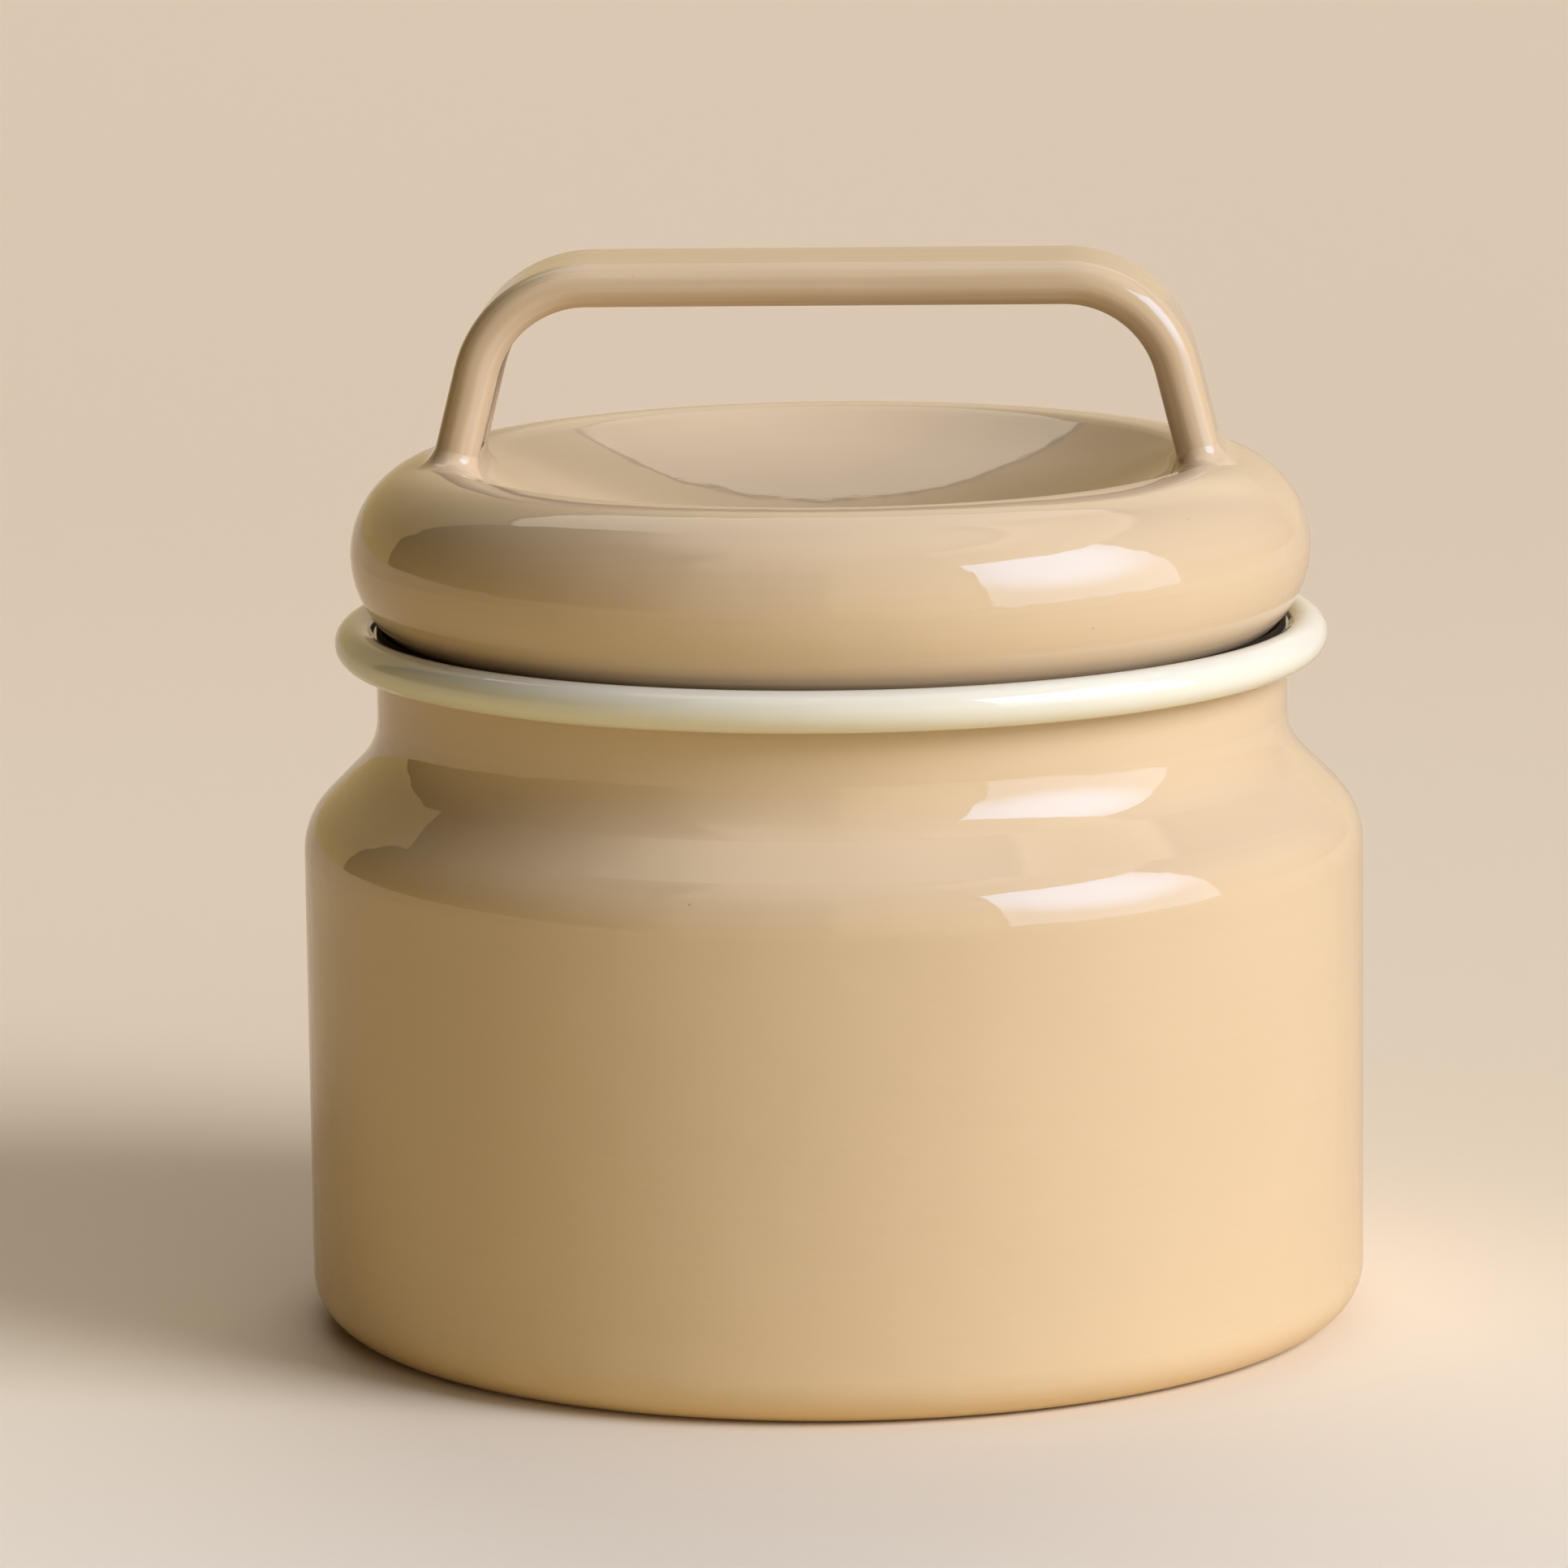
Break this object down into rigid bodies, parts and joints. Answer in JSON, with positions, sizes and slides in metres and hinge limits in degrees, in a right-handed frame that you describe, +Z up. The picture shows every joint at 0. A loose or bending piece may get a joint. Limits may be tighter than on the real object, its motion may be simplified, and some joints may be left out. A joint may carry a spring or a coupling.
{
  "type": "storage jar",
  "caption": "Round shouldered enamelled steel kitchen jar with a rolled cream rim, a rubber seal and a puffed, dished lid with a strap handle.",
  "frame": {"origin": "middle of the face that the jar stands on", "axes": "+Z up along the jar's axis, X along the handle, Y across the handle"},
  "size_m": [0.15, 0.15, 0.1508],
  "materials": {
    "body_enamel": "glossy beige vitreous enamel, cream inside",
    "lid_enamel": "glossy beige vitreous enamel",
    "plug_enamel": "glossy cream vitreous enamel",
    "rim_enamel": "glossy cream vitreous enamel",
    "seal_rubber": "soft matt black rubber"
  },
  "bodies": {
    "jar": {"jar_body": "body_enamel", "rim_bead": "rim_enamel"},
    "seal": {"seal_ring": "seal_rubber"},
    "lid": {"lid_shell": "lid_enamel", "lid_plug": "plug_enamel", "handle": "lid_enamel", "left_weld": "lid_enamel", "right_weld": "lid_enamel"}
  },
  "joints": [
    {"name": "lid_lift", "type": "slide", "parent": "jar", "child": "seal", "axis": [0, 0, 1], "range_m": [0, 0.06]},
    {"name": "lid_turn", "type": "hinge", "parent": "seal", "child": "lid", "pos_m": [0, 0, 0.1], "axis": [0, 0, 1], "continuous": true}
  ]
}
